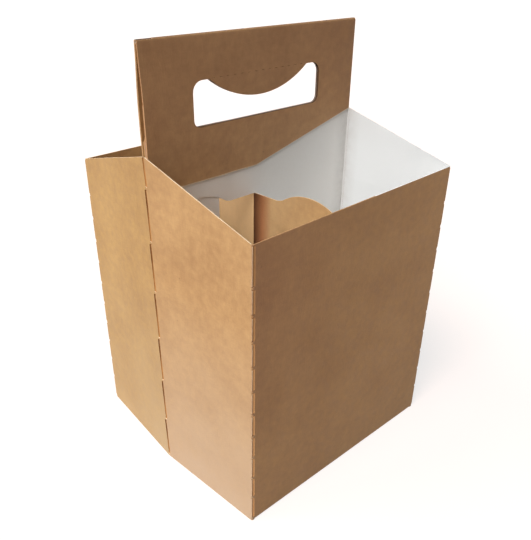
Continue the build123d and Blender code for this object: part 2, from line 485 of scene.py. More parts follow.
def bottom_panel(bm, p):
    """Bottom panel, hinged to front and back panel by rounded folds and free at its ends."""
    inset = 2 * p.fold_radius
    low, high = p.left_corner + inset, p.right_corner - inset
    slice_sheet(bm, X, [low, high])
    gone = []
    for face in bm.faces:
        x, y, z = face.calc_center_median()
        on_panel = abs(y) > p.half_depth - p.crease_half and low < x < high
        if on_panel and z < p.fold_radius:
            gone.append(face)
    bmesh.ops.delete(bm, geom=gone, context="FACES")
    hinge = p.half_depth - p.fold_radius
    reach = p.bottom_clearance + p.board
    plan = [
        (low, -hinge),
        (p.left_crease + reach, 0.0),
        (low, hinge),
        (high, hinge),
        (p.right_crease - reach, 0.0),
        (high, -hinge),
    ]
    corners = [bm.verts.new((x, y, 0.0)) for x, y in plan]
    bm.faces.new(corners)
    for side in (-1, 1):
        fold = {
            e for v in corners for e in v.link_edges
            if all(abs(w.co.y - side * hinge) < NEAR and w.co.z < NEAR for w in e.verts)
        }
        centre = (0.0, side * hinge, p.fold_radius)
        spin(bm, list(fold), centre, ALONG_X, side * pi / 2, FOLD_STEPS)
    bmesh.ops.remove_doubles(bm, verts=bm.verts, dist=WELD)


def slope_tops(bm, p, drop=0.0):
    """Trims the walls along their sloping tops, from the end creases down to the corners."""
    slope = p.peak_height - p.corner_height
    for side in (-1, 1):
        bmesh.ops.bisect_plane(
            bm, geom=everything(bm), dist=SAME, plane_co=(0.0, 0.0, p.peak_height - drop),
            plane_no=(0.0, side * slope, p.panel_inside), clear_outer=True,
        )


def fold_slits(p):
    """Slits of a corner fold and of an end crease, as spans of height."""
    corner, crease = (
        slit_spans(p.slit_foot, height, drop, pitch, p.nick) for height, drop, pitch in (
            (p.corner_height, p.corner_nick_drop, p.corner_nick_pitch),
            (p.peak_height, p.crease_nick_drop, p.crease_nick_pitch),
        )
    )
    corner[0] = (corner[0][0], p.corner_height - p.slit_head)
    return corner, crease


def open_slits(bm, p):
    """Opens the slits of the folds between their nicks, with slightly ragged lips."""
    corner, crease = fold_slits(p)
    lead = p.slit_lead
    places = {place for low, high in corner + crease for place in (low, low + lead, high - lead, high)}
    slice_sheet(bm, Z, sorted(places))
    gone = []
    for face in bm.faces:
        spans = {CORNER_FOLD: corner, END_CREASE: crease}.get(face.material_index, ())
        height = face.calc_center_median().z
        if any(low < height < high for low, high in spans):
            gone.append(face)
    bmesh.ops.delete(bm, geom=gone, context="FACES")
    torn = Random(TORN_SEED)
    for vert in sorted((v for v in bm.verts if v.is_boundary), key=lambda v: tuple(v.co)):
        x, y, z = vert.co
        ragged = torn.uniform(0.0, lead / 4)
        spans = crease if abs(y) < 2 * p.crease_half else corner
        inside = [(low, high) for low, high in spans if low + lead / 2 < z < high - lead / 2]
        if not inside:
            continue
        low, high = inside[0]
        fold = p.left_corner if x < 0 else p.right_corner - p.slit_gap / 3
        bend = p.left_crease if x < 0 else p.right_crease
        if spans is crease:
            vert.co.y += p.slit_slant * ((z - low) / (high - low) - 0.5) + sign(y) * ragged
        elif abs(abs(y) - p.half_depth) < NEAR:
            vert.co.x = fold - sign(x) * (ragged + (p.slit_draw if x < 0 else 0.0))
        else:
            wide = ragged + (0.0 if x < 0 else p.board + p.slit_gap)
            vert.co.x = fold + (bend - fold) * wide / p.half_depth
            vert.co.y = sign(y) * (p.half_depth - wide)


def settle_panels(bm, p):
    """Lets the wide panels sink in a little between their folds."""
    for vert in bm.verts:
        x, y, z = vert.co
        if z < p.fold_radius / 2 or z > p.corner_height:
            continue
        rise = sin(pi * z / p.corner_height)
        if abs(y) > p.half_depth - p.crease_half:
            along = sin(pi * (x - p.left_corner) / p.panel_length)
            vert.co.y -= sign(y) * p.panel_bow * rise * max(along, 0.0)
        else:
            along = sin(pi * abs(y) / p.half_depth)
            vert.co.x -= sign(x) * p.panel_bow / 2 * rise * along


def settle_corner(bm, p):
    """Lets the front left corner sink, fading out along the front panel and the end wall."""
    for vert in bm.verts:
        x, y, z = vert.co
        if y > -p.half_depth + 2 * p.fold_radius:
            share = -y / p.half_depth if x < p.left_corner else 0.0
        else:
            share = (p.right_corner - x) / p.panel_length
        vert.co.z -= p.corner_settle * clamp(share) * z / p.corner_height


class CARRIER_OT_outer_walls(bpy.types.Operator):
    """Front, back and four end halves in one ring, with the bottom panel"""

    bl_idname = "carrier.outer_walls"
    bl_label = "Outer walls"

    def execute(self, context):
        p = carrier_sizes()
        margin = p.grid / 2
        bm = bmesh.new()
        upright_ring(bm, p)
        bottom_panel(bm, p)
        slope_tops(bm, p)
        bmesh.ops.recalc_face_normals(bm, faces=bm.faces)
        open_slits(bm, p)
        slice_sheet(bm, X, stations(p.left_corner, p.right_crease - margin, p.grid))
        slice_sheet(bm, Y, stations(-p.half_depth + margin, p.half_depth - margin, p.grid))
        settle_panels(bm, p)
        settle_corner(bm, p)
        for face in bm.faces:
            face.material_index = FACE

        def edge_finish(middle, normal):
            # Slit rims at the right corners, and the front and back panels' slit rims at the left corners,
            # take the dark fibre as painted shade
            if abs(normal.y) > SQUARE and abs(middle.y) > p.half_depth / 2:
                return CUT if middle.x < 0 else TORN_AND_SHADE
            if abs(normal.y) > SQUARE and abs(middle.y) < 3 * p.crease_half:
                return TORN_AND_SHADE
            if abs(normal.x) > SQUARE and abs(middle.y) > p.half_depth - 2 * p.board:
                return TORN_AND_SHADE if middle.x < 0 else FACE
            if normal.z > SQUARE and middle.x > p.right_crease - margin:
                return REVERSE
            # Front panel's top edge: brown towards the left as painted shade, white towards the right as a
            # painted highlight
            if middle.y < -p.panel_inside + p.board:
                return FACE if middle.x < p.panel_middle + p.grid else REVERSE
            return CUT

        finishes = kraft_face(), white_face(), cut_edge()
        make_board("outer_walls", bm, finishes, p.board, edge_finish)
        return {"FINISHED"}


class CARRIER_OT_fold_scores(bpy.types.Operator):
    """Torn fibres behind the slits of the corner folds, end creases and the handle's top fold"""

    bl_idname = "carrier.fold_scores"
    bl_label = "Fold scores"

    def execute(self, context):
        p = carrier_sizes()
        near = p.half_depth - p.board / 2
        far = p.half_depth - p.board - 2 * p.slit_gap
        half = 3 * p.crease_half
        bm = bmesh.new()
        for fold, bend, end in (
            (p.left_corner, p.left_crease, 1), (p.right_corner, p.right_crease, -1),
        ):
            inset = end * p.score_depth
            first, second = (fold + inset, near), (fold + inset, far)
            if end > 0:     # slanting behind the slit that the front panel leaves open
                first = fold + 1.1 * p.slit_draw, p.half_depth - p.score_depth / 8
                second = fold + 0.9 * p.board, p.half_depth - p.board
            for ends in (
                ((first[0], -first[1]), (second[0], -second[1])),
                ((bend + inset, -half), (bend + inset, half)),
                (second, first),
            ):
                foot = [bm.verts.new((x, y, p.slit_foot / 2)) for x, y in ends]
                raise_edges(bm, [bm.edges.new(foot)], p.peak_height)
        slope_tops(bm, p, p.board)
        for face in bm.faces:
            face.normal_update()
            if face.normal.xy.dot(face.calc_center_median().xy) < 0:
                face.normal_flip()
        slice_sheet(bm, Z, stations(0.0, p.peak_height, p.grid))
        settle_corner(bm, p)
        # Dark strip inside the top fold: painted shade seen through its slits
        radius = p.leaf - p.score_depth / 3
        ends = [bm.verts.new((x, -radius, p.leaf_top)) for x in (p.free_end, p.edge_fold)]
        spin(bm, [bm.edges.new(ends)], (0.0, 0.0, p.leaf_top), ALONG_X, -pi, 2 * TOP_STEPS)
        over = [v for v in bm.verts if v.co.z > p.leaf_top - SAME]
        for face in {f for v in over for f in v.link_faces}:
            face.normal_update()
            if face.normal.z < 0:
                face.normal_flip()
        droop_leaf(over, p)
        finishes = score_fibre(), white_face(), score_fibre()
        make_board("fold_scores", bm, finishes, p.board / 4)
        return {"FINISHED"}


# Centre panels, handle and tabs

TOP_STEPS = 4                           # from a leaf to the middle of the top fold
SIDE_STEPS = 6                          # round the edge fold at the handle's right
HUMP_STEPS, TONGUE_STEPS = 12, 24
HEM_BURRS = (0.0333, 0.0430, 0.0577)    # from the left crease
FIRST_SLIT, OTHER_SLITS = 0.25, 0.1     # shares of the top fold that a slit opens


def ease(value):
    """Smooth step from 0 to 1."""
    value = clamp(value)
    return value * value * (3 - 2 * value)


def leaf_spread(x, z, p):
    """Distance from the middle plane to the back of a centre panel, which parts at the tabs."""
    closing = 1 - ease((x - p.tab_edge) / p.tab_lead)
    if z < p.corner_height:
        return p.ply_pitch * closing
    leaf_height = p.leaf_top - p.corner_height
    climb = (z - p.corner_height) / leaf_height
    straight = p.ply_pitch * (1 - climb)
    widest = (p.top_height - p.gap_drop - p.corner_height) / leaf_height
    if climb < widest:
        swell = sin(pi / 2 * climb / widest)
    else:
        swell = cos(pi / 2 * (climb - widest) / (1 - widest)) ** 2
    free = max(0.0, (p.tab_edge - x) / p.tab_width) ** 1.5
    gap = p.left_gap / 2 - p.ply_pitch * (1 - widest)
    return straight * closing + gap * swell * free


def hump(p):
    """Humped stretch of a strap's top edge, as distance from its hinge and height."""
    start = (p.shoulder_run, p.strap_top)
    end = (p.strap_reach - p.toe_run, p.strap_top)
    return arc_between(start, end, p.dome_rise, HUMP_STEPS)


def hand_hole(p, grow):
    """Outline of the hand hole with the tongue hanging into it, grown all round."""
    low, high = p.hole_top - p.hole_height - grow, p.hole_top + grow
    left = p.hole_middle - p.hole_width / 2 - grow
    right = p.hole_middle + p.hole_width / 2 + grow
    half = p.tongue_width / 2 - grow
    start, end = (p.hole_middle - half, high), (p.hole_middle + half, high)
    tongue = arc_between(start, end, -p.tongue_drop, TONGUE_STEPS)
    outline = [(left, low), (left, high)] + tongue + [(right, high), (right, low)]
    last = len(outline) - 1
    return rounded(outline, {
        0: p.hole_lower_radius, 1: p.hole_upper_radius,
        last - 1: p.hole_upper_radius, last: p.hole_lower_radius,
    })


def bend_leaf(bm, ply, p):
    """Bends a flat ply to the handle's shape; ply counts the boards from the middle plane."""
    for vert in bm.verts:
        spread = leaf_spread(vert.co.x, vert.co.z, p)
        vert.co.y = -(spread + ply * p.ply_pitch)


def droop_leaf(verts, p):
    """Lets the handle hang a little towards its folded right end."""
    for vert in verts:
        along = (vert.co.x - p.free_end) / (p.edge_fold - p.free_end)
        climb = (vert.co.z - p.corner_height) / (p.top_height - p.corner_height)
        vert.co.z -= p.droop * clamp(along) * clamp(climb)


def in_hand_hole(middle, p):
    """Whether a point lies in the stretch of the handle that the hand hole takes up."""
    reach = p.hole_width / 2 + p.hole_lower_radius
    slack = 2 * p.droop
    low, high = p.hole_top - p.hole_height - slack, p.hole_top + slack
    return abs(middle.x - p.hole_middle) < reach and low < middle.z < high


class CARRIER_OT_centre_panels(bpy.types.Operator):
    """Two centre panels with their windows, reaching up into the handle"""

    bl_idname = "carrier.centre_panels"
    bl_label = "Centre panels"

    def execute(self, context):
        p = carrier_sizes()
        foot, head = 2 * p.ply_pitch, p.leaf_top - p.ply_pitch
        window = [(p.strap_hinge - run, z) for run, z in hump(p)]
        outline = [
            (p.free_end, foot),
            (p.edge_fold, foot),
            (p.edge_fold, head),
            (p.free_end, head),
            (p.free_end, p.strap_top),
            *reversed(window),
            (p.strap_hinge, p.strap_top),
            (p.strap_hinge, p.strap_bottom),
            (p.free_end, p.strap_bottom),
        ]
        feet = {5: p.dome_blend, 4 + len(window): p.dome_blend}
        bm = bmesh.new()
        fill_sheet(bm, [rounded(outline, feet), hand_hole(p, p.board / 3)])
        slice_sheet(bm, X, stations(p.free_end, p.lead_end + p.grid, p.grid / 2))
        rows = stations(p.corner_height, head, p.grid)
        slice_sheet(bm, Z, [p.corner_height] + rows)
        bend_leaf(bm, 1, p)
        droop_leaf(bm.verts, p)
        mirror_to_back(bm)

        def edge_finish(middle, normal):
            # Dark fibre on the rims in the gap between the leaves, at the strap hinge and round the hand
            # hole: painted shade
            if middle.x < p.free_end + p.board and middle.z > p.corner_height:
                in_gap = middle.z > p.top_height - p.gap_drop and middle.y < 0
                return TORN_AND_SHADE if in_gap else REVERSE
            at_hinge = abs(middle.x - p.strap_hinge) < p.board
            return TORN_AND_SHADE if at_hinge or in_hand_hole(middle, p) else CUT

        finishes = white_face(), kraft_face(), cut_edge()
        make_board("centre_panels", bm, finishes, p.board, edge_finish)
        return {"FINISHED"}


class CARRIER_OT_handle_plies(bpy.types.Operator):
    """Two outer handle plies with their slanting hems, edge folds and shared top fold"""

    bl_idname = "carrier.handle_plies"
    bl_label = "Handle plies"

    def execute(self, context):
        p = carrier_sizes()
        hem = p.corner_height + p.hem_lift
        burrs = [
            (p.left_crease + run + step * p.burr, hem - (0.0 if step else p.burr))
            for run in HEM_BURRS for step in (-1, 0, 1)
        ]
        outline = [
            (p.free_end, hem),
            *burrs,
            (p.right_crease - p.hem_run, hem),
            (p.edge_fold, p.peak_height),
            (p.edge_fold, p.leaf_top),
            (p.free_end, p.leaf_top),
        ]
        bm = bmesh.new()
        fill_sheet(bm, [outline, hand_hole(p, 0.0), *tongue_dashes(p)])
        nicks = slit_spans(
            p.free_end, p.edge_fold, p.top_nick_inset, p.top_nick_pitch, p.nick
        )
        both = p.free_end + p.edge_fold     # the nicks count from the left end
        cuts = [(both - high, both - low) for low, high in nicks]
        ends = {end for span in cuts for end in span if p.free_end < end < p.edge_fold}
        slice_sheet(bm, X, sorted(ends))
        slice_sheet(bm, X, stations(p.free_end, p.lead_end + p.grid, p.grid / 2))
        slice_sheet(bm, Z, stations(p.corner_height, p.leaf_top, p.grid / 2))
        bend_leaf(bm, 2, p)
        top = [e for e in bm.edges if all(abs(v.co.z - p.leaf_top) < NEAR for v in e.verts)]
        side = [e for e in bm.edges if all(abs(v.co.x - p.edge_fold) < NEAR for v in e.verts)]
        spin(bm, top, (0.0, 0.0, p.leaf_top), ALONG_X, -pi / 2, TOP_STEPS)
        spin(bm, side, (p.edge_fold, -p.ply_pitch, 0.0), ALONG_Z, pi, SIDE_STEPS)
        opened = []
        for face in bm.faces:
            middle = face.calc_center_median()
            for low, high in cuts:
                share = FIRST_SLIT if low < p.free_end + p.nick else OTHER_SLITS
                if low < middle.x < high and middle.z > p.top_height - share * p.leaf:
                    opened.append(face)
        bmesh.ops.delete(bm, geom=opened, context="FACES")
        droop_leaf(bm.verts, p)
        mirror_to_back(bm)
        seam = [v for v in bm.verts if abs(v.co.y) < SAME]
        bmesh.ops.remove_doubles(bm, verts=seam, dist=SAME)
        bmesh.ops.recalc_face_normals(bm, faces=bm.faces)

        def edge_finish(middle, normal):
            # Dark fibre on the rims of the top fold's slits and round the hand hole: painted shade
            on_top = middle.z > p.leaf_top - p.droop and abs(middle.y) < p.board
            if on_top and abs(normal.x) < 0.5 or in_hand_hole(middle, p):
                return TORN_AND_SHADE
            return FACE if middle.x < p.free_end + p.board and normal.x < -0.7 else CUT

        finishes = kraft_face(), white_face(), cut_edge()
        make_board("handle_plies", bm, finishes, p.board, edge_finish)
        return {"FINISHED"}


def tongue_dashes(p):
    """Narrow cuts of the dashed crease along the top of the tongue."""
    half = p.tongue_width / 2 - p.dash
    low = p.hole_top + 1.5 * p.dash_width
    high = low + p.dash_width
    cuts = []
    start = p.hole_middle - half
    while start + p.dash < p.hole_middle + half:
        end = start + p.dash
        cuts.append([(start, low), (end, low), (end, high), (start, high)])
        start += p.dash_pitch
    return cuts


class CARRIER_OT_glue_tabs(bpy.types.Operator):
    """Glue tabs of the left end walls, between the centre panels"""

    bl_idname = "carrier.glue_tabs"
    bl_label = "Glue tabs"

    def execute(self, context):
        p = carrier_sizes()
        foot, head = 2 * p.ply_pitch, p.corner_height
        bm = bmesh.new()
        fill_sheet(bm, [[
            (p.free_end, foot),
            (p.tab_edge, foot),
            (p.tab_edge, head),
            (p.free_end + p.tip_run, head),
            (p.free_end + p.tip_run / 5, head + p.tip_rise),
            (p.free_end, head + p.tip_rise * 0.7),
        ]])
        slice_sheet(bm, X, stations(p.free_end, p.tab_edge, p.grid))
        bmesh.ops.translate(bm, verts=bm.verts, vec=(0.0, -p.ply_pitch, 0.0))
        mirror_to_back(bm)
        make_board("glue_tabs", bm, (white_face(), kraft_face(), kraft_face()), p.board)
        return {"FINISHED"}


class CARRIER_OT_divider_straps(bpy.types.Operator):
    """Two straps swung out of the centre panels and glued to the outer panels"""

    bl_idname = "carrier.divider_straps"
    bl_label = "Divider straps"

    def execute(self, context):
        p = carrier_sizes()
        turn = -atan2(p.panel_inside, p.panel_middle - p.strap_hinge)
        start = p.hinge_gap
        reach = p.strap_reach - p.board
        end = reach + p.strap_flap
        top = hump(p)
        outline = [
            (start, p.strap_bottom),
            (end, p.strap_bottom),
            (end, p.strap_top),
            *reversed(top),
            (start, p.strap_top),
        ]
        feet = {3: p.dome_blend, 2 + len(top): p.dome_blend}
        bm = bmesh.new()
        fill_sheet(bm, [rounded(outline, feet)])
        slice_sheet(bm, X, stations(start, reach, p.grid / 2) + [reach])
        for vert in bm.verts:
            along = (vert.co.x - start) / (reach - start)
            if 0 < along < 1:
                vert.co.y -= p.strap_bow * sin(pi * along)
        flap = [v for v in bm.verts if v.co.x > reach + SAME]
        for verts, place, angle in ((flap, reach, -turn), (bm.verts, 0.0, turn)):
            matrix = Matrix.Rotation(angle, 3, "Z")
            bmesh.ops.rotate(bm, verts=verts, cent=(place, 0.0, 0.0), matrix=matrix)
        shift = p.strap_hinge - p.hinge_gap
        bmesh.ops.translate(bm, verts=bm.verts, vec=(shift, 0.0, 0.0))
        mirror_to_back(bm)

        def edge_finish(middle, normal):
            # Dark fibre on the rims at the hinge: painted shade in the cut
            return TORN_AND_SHADE if hypot(middle.x - p.strap_hinge, middle.y) < p.board else CUT

        finishes = kraft_face(), white_face(), cut_edge()
        make_board("divider_straps", bm, finishes, p.board, edge_finish)
        return {"FINISHED"}


# Finishes

CORNER_RUB = 0.0015         # wear spreads this far from a corner fold
BASE_SHEEN = 0.115            # painted sheen reaches this far up the left end
CREASE_SHADE = 0.0095      # painted shade on the inner face beside an end crease
BUMP_DEPTH = 0.0001


class Nodes:
    """Adds nodes to a tree; a value may be a socket or a constant, and a result is a socket."""

    def __init__(self, tree):
        self.tree = tree

    def feed(self, socket, value):
        """Links or sets one input."""
        if isinstance(value, bpy.types.NodeSocket):
            self.tree.links.new(value, socket)
        else:
            socket.default_value = value

    def add(self, kind, values=None, **settings):
        """A node with its settings and inputs."""
        node = self.tree.nodes.new(kind)
        for name, value in settings.items():
            setattr(node, name, value)
        for socket, value in (values or {}).items():
            self.feed(node.inputs[socket], value)
        return node

    def math(self, operation, first, second=0.0):
        """One operation on two values."""
        return self.add("ShaderNodeMath", {0: first, 1: second}, operation=operation).outputs[0]

    def less(self, first, second):
        """1 where first is below second, else 0."""
        return self.math("LESS_THAN", first, second)

    def more(self, first, second):
        """1 where first is above second, else 0."""
        return self.math("GREATER_THAN", first, second)

    def times(self, first, *others):
        """Product of the values."""
        for other in others:
            first = self.math("MULTIPLY", first, other)
        return first

    def blend(self, first, second, share):
        """A share of the first value and the rest of the second."""
        return self.math("ADD", self.times(first, share), self.times(second, 1.0 - share))

    def span(self, value, low, high, to_low=0.0, to_high=1.0):
        """Maps a value from one range to another, clamped."""
        values = {0: value, 1: low, 2: high, 3: to_low, 4: to_high}
        return self.add("ShaderNodeMapRange", values).outputs[0]

    def mix(self, factor, first, second, blend="MIX"):
        """Goes from the first colour to the second by a factor."""
        values = {0: factor, 6: first, 7: second}
        return self.add("ShaderNodeMix", values, data_type="RGBA", blend_type=blend).outputs[2]

    def tint(self, first, second, factor=1.0):
        """Multiplies the first colour by the second."""
        return self.mix(factor, first, second, "MULTIPLY")

    def group(self, tree, values):
        """Outputs of a node group."""
        return self.add("ShaderNodeGroup", values, node_tree=tree).outputs

    def axes(self, place):
        """X, Y and Z of a place."""
        return self.add("ShaderNodeSeparateXYZ", {0: place}).outputs


def made_once(kind):
    """Makes a material or node group at its first call and finds it by its name after that."""
    def wrap(make):
        def get():
            return getattr(bpy.data, kind).get(make.__name__) or make()
        get.__doc__ = make.__doc__
        return get
    return wrap


def new_group(name, inputs, outputs):
    """An empty node group. Returns its tree, nodes, inputs and outputs."""
    tree = bpy.data.node_groups.new(name, "ShaderNodeTree")
    for in_out, sockets in (("INPUT", inputs), ("OUTPUT", outputs)):
        for socket, kind in sockets.items():
            tree.interface.new_socket(socket, in_out=in_out, socket_type="NodeSocket" + kind)
    nodes = Nodes(tree)
    start, end = nodes.add("NodeGroupInput"), nodes.add("NodeGroupOutput")
    return tree, nodes, start.outputs, end.inputs


@made_once("node_groups")
def board_grain():
    """Node group: clouds, flecks, fibres, height and brown colour of uncoated board."""
    colours = bpy.context.scene.carrier_colours
    masks = dict.fromkeys(("Clouds", "Flecks", "Fibres", "Height"), "Float")
    tree, nodes, start, end = new_group(
        "board_grain", {"Vector": "Vector"}, {**masks, "Kraft": "Color"}
    )
    place = start["Vector"]

    def noise(vector, scale, detail):
        values = {"Vector": vector, "Scale": scale, "Detail": detail, "Roughness": 0.55}
        return nodes.add("ShaderNodeTexNoise", values).outputs["Fac"]

    def stretched(scale):
        return nodes.add("ShaderNodeMapping", {"Vector": place, "Scale": scale}).outputs[0]

    clouds = nodes.span(noise(place, 34.0, 3.0), 0.3, 0.7)
    flecks = nodes.span(noise(place, 260.0, 3.0), 0.3, 0.7)
    lying = noise(stretched((0.25, 0.25, 1.0)), 1500.0, 2.0)
    standing = noise(stretched((1.0, 1.0, 0.25)), 1500.0, 2.0)
    fibres = nodes.span(nodes.math("ADD", lying, standing), 0.75, 1.25)
    cells = nodes.add("ShaderNodeTexVoronoi", {"Vector": place, "Scale": 120.0}).outputs
    chosen = nodes.add("ShaderNodeSeparateColor", {0: cells["Color"]}).outputs[0]
    dots = nodes.span(cells["Distance"], 0.03, 0.07, 1.0, 0.0)
    specks = nodes.times(dots, nodes.more(chosen, 0.93))
    brown = nodes.mix(nodes.blend(clouds, flecks, 0.5), colours.kraft_dark, colours.kraft_light)
    brown = nodes.tint(brown, nodes.span(fibres, 0.0, 1.0, 0.965, 1.035))
    results = {
        "Clouds": clouds, "Flecks": flecks, "Fibres": fibres,
        "Height": nodes.math("ADD", fibres, nodes.times(flecks, 0.8)),
        "Kraft": nodes.mix(nodes.times(specks, 0.4), brown, colours.kraft_speck),
    }
    for name, result in results.items():
        nodes.feed(end[name], result)
    return tree


@made_once("node_groups")
def board_surface():
    """Node group: roughness and bump of the board from its grain."""
    inputs = dict.fromkeys(("Flecks", "Height", "Strength", "Smooth", "Rough"), "Float")
    tree, nodes, start, end = new_group(
        "board_surface", inputs, {"Roughness": "Float", "Normal": "Vector"}
    )
    roughness = nodes.span(start["Flecks"], 0.0, 1.0, start["Smooth"], start["Rough"])
    bump = nodes.add("ShaderNodeBump", {
        "Strength": start["Strength"], "Distance": BUMP_DEPTH, "Height": start["Height"],
    })
    nodes.feed(end["Roughness"], roughness)
    nodes.feed(end["Normal"], bump.outputs[0])
    return tree


@made_once("node_groups")
def fold_wear():
    """Node group: masks that fade out from the corner folds, end creases and strap hinges."""
    p = carrier_sizes()
    folds = {
        "Corners": ((p.left_corner, p.half_depth), (p.right_corner, p.half_depth)),
        "Creases": ((p.left_crease, 0.0), (p.right_crease, 0.0)),
        "Hinges": ((p.strap_hinge, 0.0),),
    }
    tree, nodes, start, end = new_group(
        "fold_wear", {"Vector": "Vector", "Reach": "Float"}, dict.fromkeys(folds, "Float")
    )
    x, y, z = nodes.axes(start["Vector"])
    values = {"X": x, "Y": nodes.math("ABSOLUTE", y)}
    plan = nodes.add("ShaderNodeCombineXYZ", values).outputs[0]
    for name, points in folds.items():
        nearest = None
        for point in points:
            values = {0: plan, 1: (*point, 0.0)}
            away = nodes.add("ShaderNodeVectorMath", values, operation="DISTANCE").outputs["Value"]
            nearest = nodes.math("MINIMUM", nearest, away) if nearest else away
        share = nodes.math("DIVIDE", nearest, start["Reach"])
        nodes.feed(end[name], nodes.span(share, 0.0, 1.0, 1.0, 0.0))
    return tree


def worn_fold(nodes, place, reach, fold):
    """Mask that fades out from one kind of fold over a reach."""
    return nodes.group(fold_wear(), {"Vector": place, "Reach": reach})[fold]


def cleared(owner):
    """The empty node tree of a material or world."""
    owner.use_nodes = True
    owner.node_tree.nodes.clear()
    return Nodes(owner.node_tree)


def new_finish(name, specular, strength, smooth, rough):
    """A material of board without its colour.

    Returns it with its nodes, its colour socket, its Object coordinates and its grain.
    """
    material = bpy.data.materials.new(name)
    nodes = cleared(material)
    place = nodes.add("ShaderNodeTexCoord").outputs["Object"]
    grain = nodes.group(board_grain(), {"Vector": place})
    surface = nodes.group(board_surface(), {
        "Flecks": grain["Flecks"], "Height": grain["Height"],
        "Strength": strength, "Smooth": smooth, "Rough": rough,
    })
    shader = nodes.add("ShaderNodeBsdfPrincipled", {
        "Specular IOR Level": specular,
        "Roughness": surface["Roughness"], "Normal": surface["Normal"],
    })
    nodes.add("ShaderNodeOutputMaterial", {"Surface": shader.outputs[0]})
    return material, nodes, shader.inputs["Base Color"], place, grain


@made_once("materials")
def kraft_face():
    """Brown outer face of the board, rubbed pale at its corner folds and low on the left end."""
    p = carrier_sizes()
    colours = bpy.context.scene.carrier_colours
    material, nodes, base, place, grain = new_finish("kraft_face", 0.4, 0.35, 0.52, 0.64)
    x, y, z = nodes.axes(place)
    away = nodes.math("ABSOLUTE", y)
    walls, top = p.corner_height, p.top_height
    below = nodes.less(z, walls)

    # Corner folds rubbed pale; the left end paler from its base up, more so in front, as a painted sheen
    rubbed = nodes.times(
        worn_fold(nodes, place, CORNER_RUB, "Corners"),
        nodes.span(grain["Flecks"], 0.2, 0.9, 0.05, 0.35),
    )
    on_left = nodes.span(x, p.left_corner, p.left_corner + 0.002, 1.0, 0.0)
    painted_sheen = nodes.times(
        nodes.span(z, 0.0, BASE_SHEEN, 1.0, 0.0),
        nodes.span(grain["Clouds"], 0.0, 1.0, 0.75, 1.0),
        on_left, nodes.span(y, 0.05, -0.03, 0.4, 1.0),
    )
    worn_and_sheen = nodes.math("MAXIMUM", rubbed, painted_sheen)
    brown = nodes.mix(worn_and_sheen, grain["Kraft"], colours.kraft_worn)

    # Straps paler towards the back: painted light
    painted_light = nodes.times(
        nodes.less(away, p.panel_inside - 0.001), nodes.more(x, p.tab_edge),
        nodes.less(x, p.right_crease), below, nodes.span(y, -0.045, 0.005, 0.0, 0.5),
    )
    brown = nodes.mix(painted_light, brown, colours.kraft_fresh)

    # Front strap darker and redder beside its hinge: painted shade
    hinge = worn_fold(nodes, place, p.hinge_shade, "Hinges")
    painted_shade = nodes.times(hinge, below, nodes.less(y, 0.0))
    brown = nodes.tint(brown, colours.hinge_tint, nodes.span(painted_shade, 0.0, 0.5))
    brown = nodes.mix(painted_shade, brown, colours.kraft_bruise)
    brown = nodes.tint(brown, nodes.span(painted_shade, 0.5, 1.0, 1.0, 0.55))

    # Handle browner, paler low and darker towards its top, all as painted shade and light, with a pale frayed
    # hem
    on_handle = nodes.times(
        nodes.less(away, 0.004), nodes.more(x, p.left_crease + p.crease_half),
        nodes.less(x, p.right_crease), nodes.math("SUBTRACT", 1.0, below),
    )
    handle_painted_light_and_shade = nodes.tint(brown, nodes.span(z, walls, top, 1.17, 0.88))
    brown = nodes.mix(on_handle, brown, nodes.tint(handle_painted_light_and_shade, colours.shade_tint, 0.8))
    sunk = p.droop * (p.peak_height - walls) / (top - walls)
    hem = nodes.span(
        x, p.right_crease - p.hem_run, p.edge_fold,
        walls + p.hem_lift, p.peak_height - sunk,
    )
    frayed = nodes.span(nodes.math("SUBTRACT", z, hem), 0.0002, 0.0005, 1.0, 0.0)
    brown = nodes.mix(nodes.times(frayed, on_handle), brown, colours.edge_light)

    # Front panel browner at its upper left as painted shade; far half of the left end darker and yellower,
    # its darkening painted shade
    upper_left_painted_shade = nodes.times(
        nodes.less(y, -p.panel_inside), nodes.span(x, p.panel_middle, p.left_corner),
        nodes.span(z, 0.2 * walls, 0.8 * walls),
    )
    brown = nodes.tint(brown, colours.shade_tint, upper_left_painted_shade)
    brown = nodes.tint(brown, colours.far_tint, nodes.times(on_left, nodes.more(y, 0.0)))
    nodes.feed(base, brown)
    return material


@made_once("materials")
def white_face():
    """White inner face of the board, bruised at the end creases; brown in the back panel."""
    p = carrier_sizes()
    colours = bpy.context.scene.carrier_colours
    material, nodes, base, place, grain = new_finish("white_face", 0.3, 0.2, 0.5, 0.65)
    x, y, z = nodes.axes(place)
    clouded = nodes.blend(grain["Clouds"], grain["Fibres"], 0.6)
    white = nodes.mix(clouded, colours.white_dark, colours.white_light)
    # Centre panels' inner face warmer and darker towards the left end: painted shade
    painted_shade_leftward = nodes.times(
        nodes.span(x, p.strap_hinge, p.left_crease),
        nodes.span(nodes.math("ABSOLUTE", y), 0.0025, 0.006, 1.0, 0.0),
    )
    white = nodes.tint(white, colours.white_left, painted_shade_leftward)
    # Inner face of the right end greyer, more so towards its corners: painted shade
    on_end = nodes.span(x, p.edge_fold, p.edge_fold + 0.0001)
    painted_shade_outward = nodes.span(x, p.right_crease, p.right_corner, 1.0, 0.75)
    white = nodes.mix(on_end, white, nodes.tint(colours.white_end, painted_shade_outward))
    # Grey beside the end creases: painted shade
    painted_shade = nodes.times(
        worn_fold(nodes, place, CREASE_SHADE, "Creases"),
        nodes.span(grain["Flecks"], 0.0, 1.0, 0.45, 0.85),
    )
    white = nodes.mix(painted_shade, white, colours.white_crease)
    on_back = nodes.more(y, p.panel_inside - 0.0015)
    nodes.feed(base, nodes.mix(on_back, white, grain["Kraft"]))
    return material


